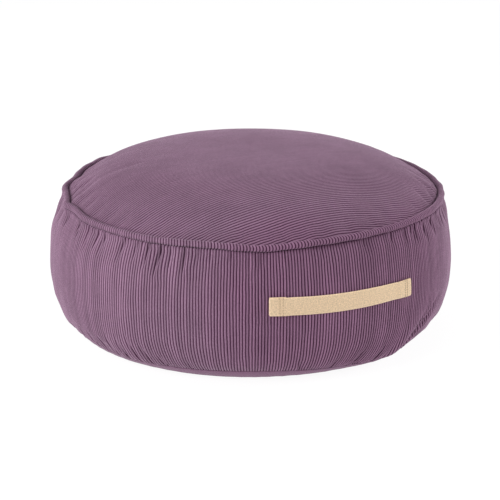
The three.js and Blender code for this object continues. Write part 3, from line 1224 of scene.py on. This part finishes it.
def tape_section(tape):
    """Round the tape's section: (across, out, side), with side 1 on the outer face."""
    half, thick = tape.width / 2, tape.thickness / 2
    count = int(round(tape.width / tape.yarn)) * 2
    outer = (np.arange(count) + 0.5) / count * 2 - 1
    inner = outer[::-4]
    across = np.concatenate([outer, [1.0], inner, [-1.0]])
    edge = (1 - np.abs(across) ** 14) ** 0.5
    side = np.concatenate([np.ones(count), [0], -np.ones(len(inner)), [0]])
    return np.stack([across * half, side * thick * np.maximum(edge, 0.25), side], -1)


def make_handle(sizes, tape):
    """The tape in one woven piece, with its cut ends turned under."""
    path, section = tape_path(tape), tape_section(tape)
    run = run_lengths(path)
    tangent = np.gradient(path, axis=0)
    tangent /= np.linalg.norm(tangent, axis=1, keepdims=True)
    out = np.stack([-tangent[:, 1], tangent[:, 0]], -1)
    from_cut = np.minimum(run, run[-1] - run)
    closing = smoothstep(from_cut, -0.6 * MM, 0.9 * MM)
    across, thick, side = section.T
    weave = np.sin(np.pi * across[None] / tape.yarn) * np.sin(np.pi * run[:, None] / tape.yarn)
    relief = 0.10 * MM * weave * (side != 0)[None]
    raised = (thick[None] + relief * np.sign(thick)[None]) * closing[:, None]
    along = path[:, :1] + out[:, :1] * raised
    above = path[:, 1:] + out[:, 1:] * raised
    bow = 0.35 * MM * np.sin(run / (31 * MM))[:, None]
    # The tape is pulled a little narrower near its right end.
    narrower = 0.975 - 0.05 * bell((along / tape.length - 0.4) / 0.17)
    height = tape.height - tape.fall * along / tape.length + across[None] * narrower + bow
    points = on_band(sizes, tape, along, above, height)
    rows, columns = len(run), len(across)
    places = np.append(across, across[0]) / (tape.width / 2)
    cloth = np.stack(np.broadcast_arrays(places[None], (run / tape.yarn)[:, None]), -1)
    bake = strip_map(rows - 1, columns, strips=4)
    maps = [("Cloth", cell_corners(cloth)), ("OFBake", bake)]
    maps = [(name, values.reshape(-1, 4, 2)[:, ::-1]) for name, values in maps]
    faces = grid_faces(rows, columns, False, True)[:, ::-1]
    return build("handle_tape", points.reshape(-1, 3), faces, maps)


def make_tape_stitches(sizes, tape):
    """Two rows of stitches across each end of the tape, each stitch a short bowed thread."""
    rings, sides, stitches = 9, 8, 8
    length, thread = 2.3 * MM, 0.32 * MM
    turns = np.linspace(0, 2 * np.pi, sides + 1)
    threads, faces, cloths, bakes = [], [], [], []
    surface = TAPE_LIFT + tape.thickness * 2 + 0.2 * MM
    shares = np.linspace(-1, 1, rings)
    half = tape.length / 2
    rows = (12 * MM - half, 15.8 * MM - half, half - 11.5 * MM, half - 8 * MM)
    cells = len(rows) * stitches
    for cell in range(cells):
        along, k = rows[cell // stitches], cell % stitches
        across = (k + 0.5) / stitches * tape.width - tape.width / 2 + shares * length / 2
        bow = surface + thread * (0.55 - 1.9 * shares**6)
        width = thread * np.sqrt(np.maximum(1 - 0.96 * shares**8, 0.02))
        beside = along + width[:, None] * np.cos(turns[None])
        above = bow[:, None] + width[:, None] * np.sin(turns[None])
        height = tape.height - tape.fall * beside / tape.length + across[:, None]
        points = on_band(sizes, tape, beside, above, height)[:, :-1]
        threads.append(points.reshape(-1, 3))
        faces.append(cell * rings * sides + grid_faces(rings, sides, False, True))
        place = np.stack(np.broadcast_arrays(turns[None], (shares * 4)[:, None]), -1)
        cloths.append(cell_corners(place).reshape(-1, 4, 2))
        strip = (cell + 0.5 + shares * 0.45) / cells
        strip = np.stack(np.broadcast_arrays((turns / (2 * np.pi))[None], strip[:, None]), -1)
        bakes.append(cell_corners(strip).reshape(-1, 4, 2))
    faces, cloths, bakes = (np.concatenate(parts)[:, ::-1] for parts in (faces, cloths, bakes))
    maps = [("Cloth", cloths), ("OFBake", bakes)]
    return build("handle_stitches", np.concatenate(threads), faces, maps)


# ---------------------------------------------------------------- stage

WHITE = (1.0, 1.0, 1.0)
# Name, place, size, power of each soft light. All look at the middle of the pouf.
LAMPS = (
    ("left", (-2.6, -0.2, 1.0), 1.6, 21),
    ("left_front", (-1.9, -1.7, 1.4), 1.6, 44),
    ("above", (0.0, 0.5, 2.6), 2.0, 14),
    ("right", (2.6, 0.1, 1.0), 1.4, 40),
)
LAMP_AIM = Vector((0, 0, 0.12))


def lay_floor():
    half = 15.0
    corners = [(-half, -half, 0), (half, -half, 0), (half, half, 0), (-half, half, 0)]
    mesh = bpy.data.meshes.new("floor")
    mesh.from_pydata(corners, [], [(0, 1, 2, 3)])
    floor = bpy.data.objects.new("floor", mesh)
    bpy.context.scene.collection.objects.link(floor)
    w = Weaver("floor_paint")
    w.shader.inputs["Base Color"].default_value = (0.12, 0.12, 0.12, 1)
    w.shader.inputs["Roughness"].default_value = 0.9
    w.shader.inputs["Specular IOR Level"].default_value = 0.0
    w.shader.inputs["Emission Color"].default_value = (*WHITE, 1)
    w.shader.inputs["Emission Strength"].default_value = 0.93
    mesh.materials.append(w.material)


def light_sky(scene):
    world = bpy.data.worlds.new("studio")
    world.use_nodes = True
    background = world.node_tree.nodes["Background"]
    background.inputs["Color"].default_value = (*WHITE, 1)
    background.inputs["Strength"].default_value = 0.35
    scene.world = world


def hang_lamp(scene, name, place, size, power):
    light = bpy.data.lights.new(name, "AREA")
    light.shape = "DISK"
    light.size, light.energy, light.color = size, power, WHITE
    lamp = bpy.data.objects.new(name, light)
    lamp.location = place
    lamp.rotation_euler = (LAMP_AIM - Vector(place)).to_track_quat("-Z", "Y").to_euler()
    scene.collection.objects.link(lamp)


def place_camera(scene, studio):
    data = bpy.data.cameras.new("camera")
    data.lens, data.sensor_width = studio.lens, 36
    data.clip_end = 50
    camera = bpy.data.objects.new("camera", data)
    aim = Vector((studio.aim_side, 0, studio.aim_height))
    back = Vector((0, -math.cos(studio.elevation), math.sin(studio.elevation)))
    camera.location = aim + studio.distance * back
    camera.rotation_euler = (-back).to_track_quat("-Z", "Y").to_euler()
    scene.collection.objects.link(camera)
    scene.camera = camera


# ---------------------------------------------------------------- operators


class PieceOperator:
    """What all the operators have in common."""

    bl_options = {"REGISTER", "UNDO"}


class POUF_OT_stage(PieceOperator, bpy.types.Operator):
    """Lay the floor, set the lights and place the camera"""

    bl_idname = "pouf.stage"
    bl_label = "Stage"

    def execute(self, context):
        scene = context.scene
        scene.view_settings.view_transform = "Standard"
        lay_floor()
        light_sky(scene)
        for lamp in LAMPS:
            hang_lamp(scene, *lamp)
        place_camera(scene, scene.pouf_studio)
        return {"FINISHED"}


class POUF_OT_side_band(PieceOperator, bpy.types.Operator):
    """Sew the ribbed side band"""

    bl_idname = "pouf.side_band"
    bl_label = "Side band"

    def execute(self, context):
        scene = context.scene
        band = make_side_band(scene.pouf_cover, scene.pouf_corduroy, scene.pouf_tape)
        finish_piece(band, corduroy(scene), "corduroy", "side_band")
        return {"FINISHED"}


class POUF_OT_top_panel(PieceOperator, bpy.types.Operator):
    """Sew the ribbed top panel over the crown"""

    bl_idname = "pouf.top_panel"
    bl_label = "Top panel"

    def execute(self, context):
        scene = context.scene
        top = make_top_panel(scene.pouf_cover, scene.pouf_corduroy)
        finish_piece(top, corduroy(scene), "corduroy", "top_panel")
        return {"FINISHED"}


class POUF_OT_top_piping(PieceOperator, bpy.types.Operator):
    """Sew the piping round the top seam"""

    bl_idname = "pouf.top_piping"
    bl_label = "Top piping"

    def execute(self, context):
        scene = context.scene
        piping = make_top_piping(scene.pouf_cover, scene.pouf_corduroy)
        finish_piece(piping, corduroy(scene), "corduroy", "top_piping")
        return {"FINISHED"}


class POUF_OT_bottom_panel(PieceOperator, bpy.types.Operator):
    """Sew the smooth bottom panel"""

    bl_idname = "pouf.bottom_panel"
    bl_label = "Bottom panel"

    def execute(self, context):
        scene = context.scene
        bottom = make_bottom_panel(scene.pouf_cover)
        finish_piece(bottom, plain_cloth(scene.pouf_corduroy), "bottom_cloth", "bottom_panel")
        return {"FINISHED"}


class POUF_OT_handle(PieceOperator, bpy.types.Operator):
    """Fold and stitch the webbing handle"""

    bl_idname = "pouf.handle"
    bl_label = "Handle"

    def execute(self, context):
        sizes, tape = context.scene.pouf_cover, context.scene.pouf_tape
        handle = make_handle(sizes, tape)
        finish_piece(handle, tape_cloth(tape), "webbing", "handle")
        stitches = make_tape_stitches(sizes, tape)
        finish_piece(stitches, sewing_thread(tape), "webbing")
        return {"FINISHED"}


# ---------------------------------------------------------------- panel and start


class POUF_PT_panel(bpy.types.Panel):
    """Steps and sizes of the pouf"""

    bl_label = "Pouf"
    bl_idname = "POUF_PT_panel"
    bl_space_type = "VIEW_3D"
    bl_region_type = "UI"
    bl_category = "Pouf"

    def draw(self, context):
        for operator in OPERATORS:
            self.layout.operator(operator.bl_idname)
        for name, group in SETTINGS:
            box = self.layout.box()
            box.label(text=group.__doc__)
            settings = getattr(context.scene, name)
            for key in group.__annotations__:
                box.prop(settings, key)


SETTINGS = (
    ("pouf_cover", PoufCoverSizes),
    ("pouf_corduroy", PoufCorduroy),
    ("pouf_tape", PoufTape),
    ("pouf_studio", PoufStudio),
)
OPERATORS = (
    POUF_OT_stage,
    POUF_OT_side_band,
    POUF_OT_top_panel,
    POUF_OT_top_piping,
    POUF_OT_bottom_panel,
    POUF_OT_handle,
)


def register():
    for name, group in SETTINGS:
        bpy.utils.register_class(group)
        setattr(bpy.types.Scene, name, PointerProperty(type=group))
    for operator in OPERATORS:
        bpy.utils.register_class(operator)
    bpy.utils.register_class(POUF_PT_panel)


def unregister():
    bpy.utils.unregister_class(POUF_PT_panel)
    for operator in reversed(OPERATORS):
        bpy.utils.unregister_class(operator)
    for name, group in reversed(SETTINGS):
        delattr(bpy.types.Scene, name)
        bpy.utils.unregister_class(group)


def main():
    register()
    bpy.ops.pouf.stage()
    bpy.ops.pouf.side_band()
    bpy.ops.pouf.top_panel()
    bpy.ops.pouf.top_piping()
    bpy.ops.pouf.bottom_panel()
    bpy.ops.pouf.handle()


if __name__ == "__main__":
    main()
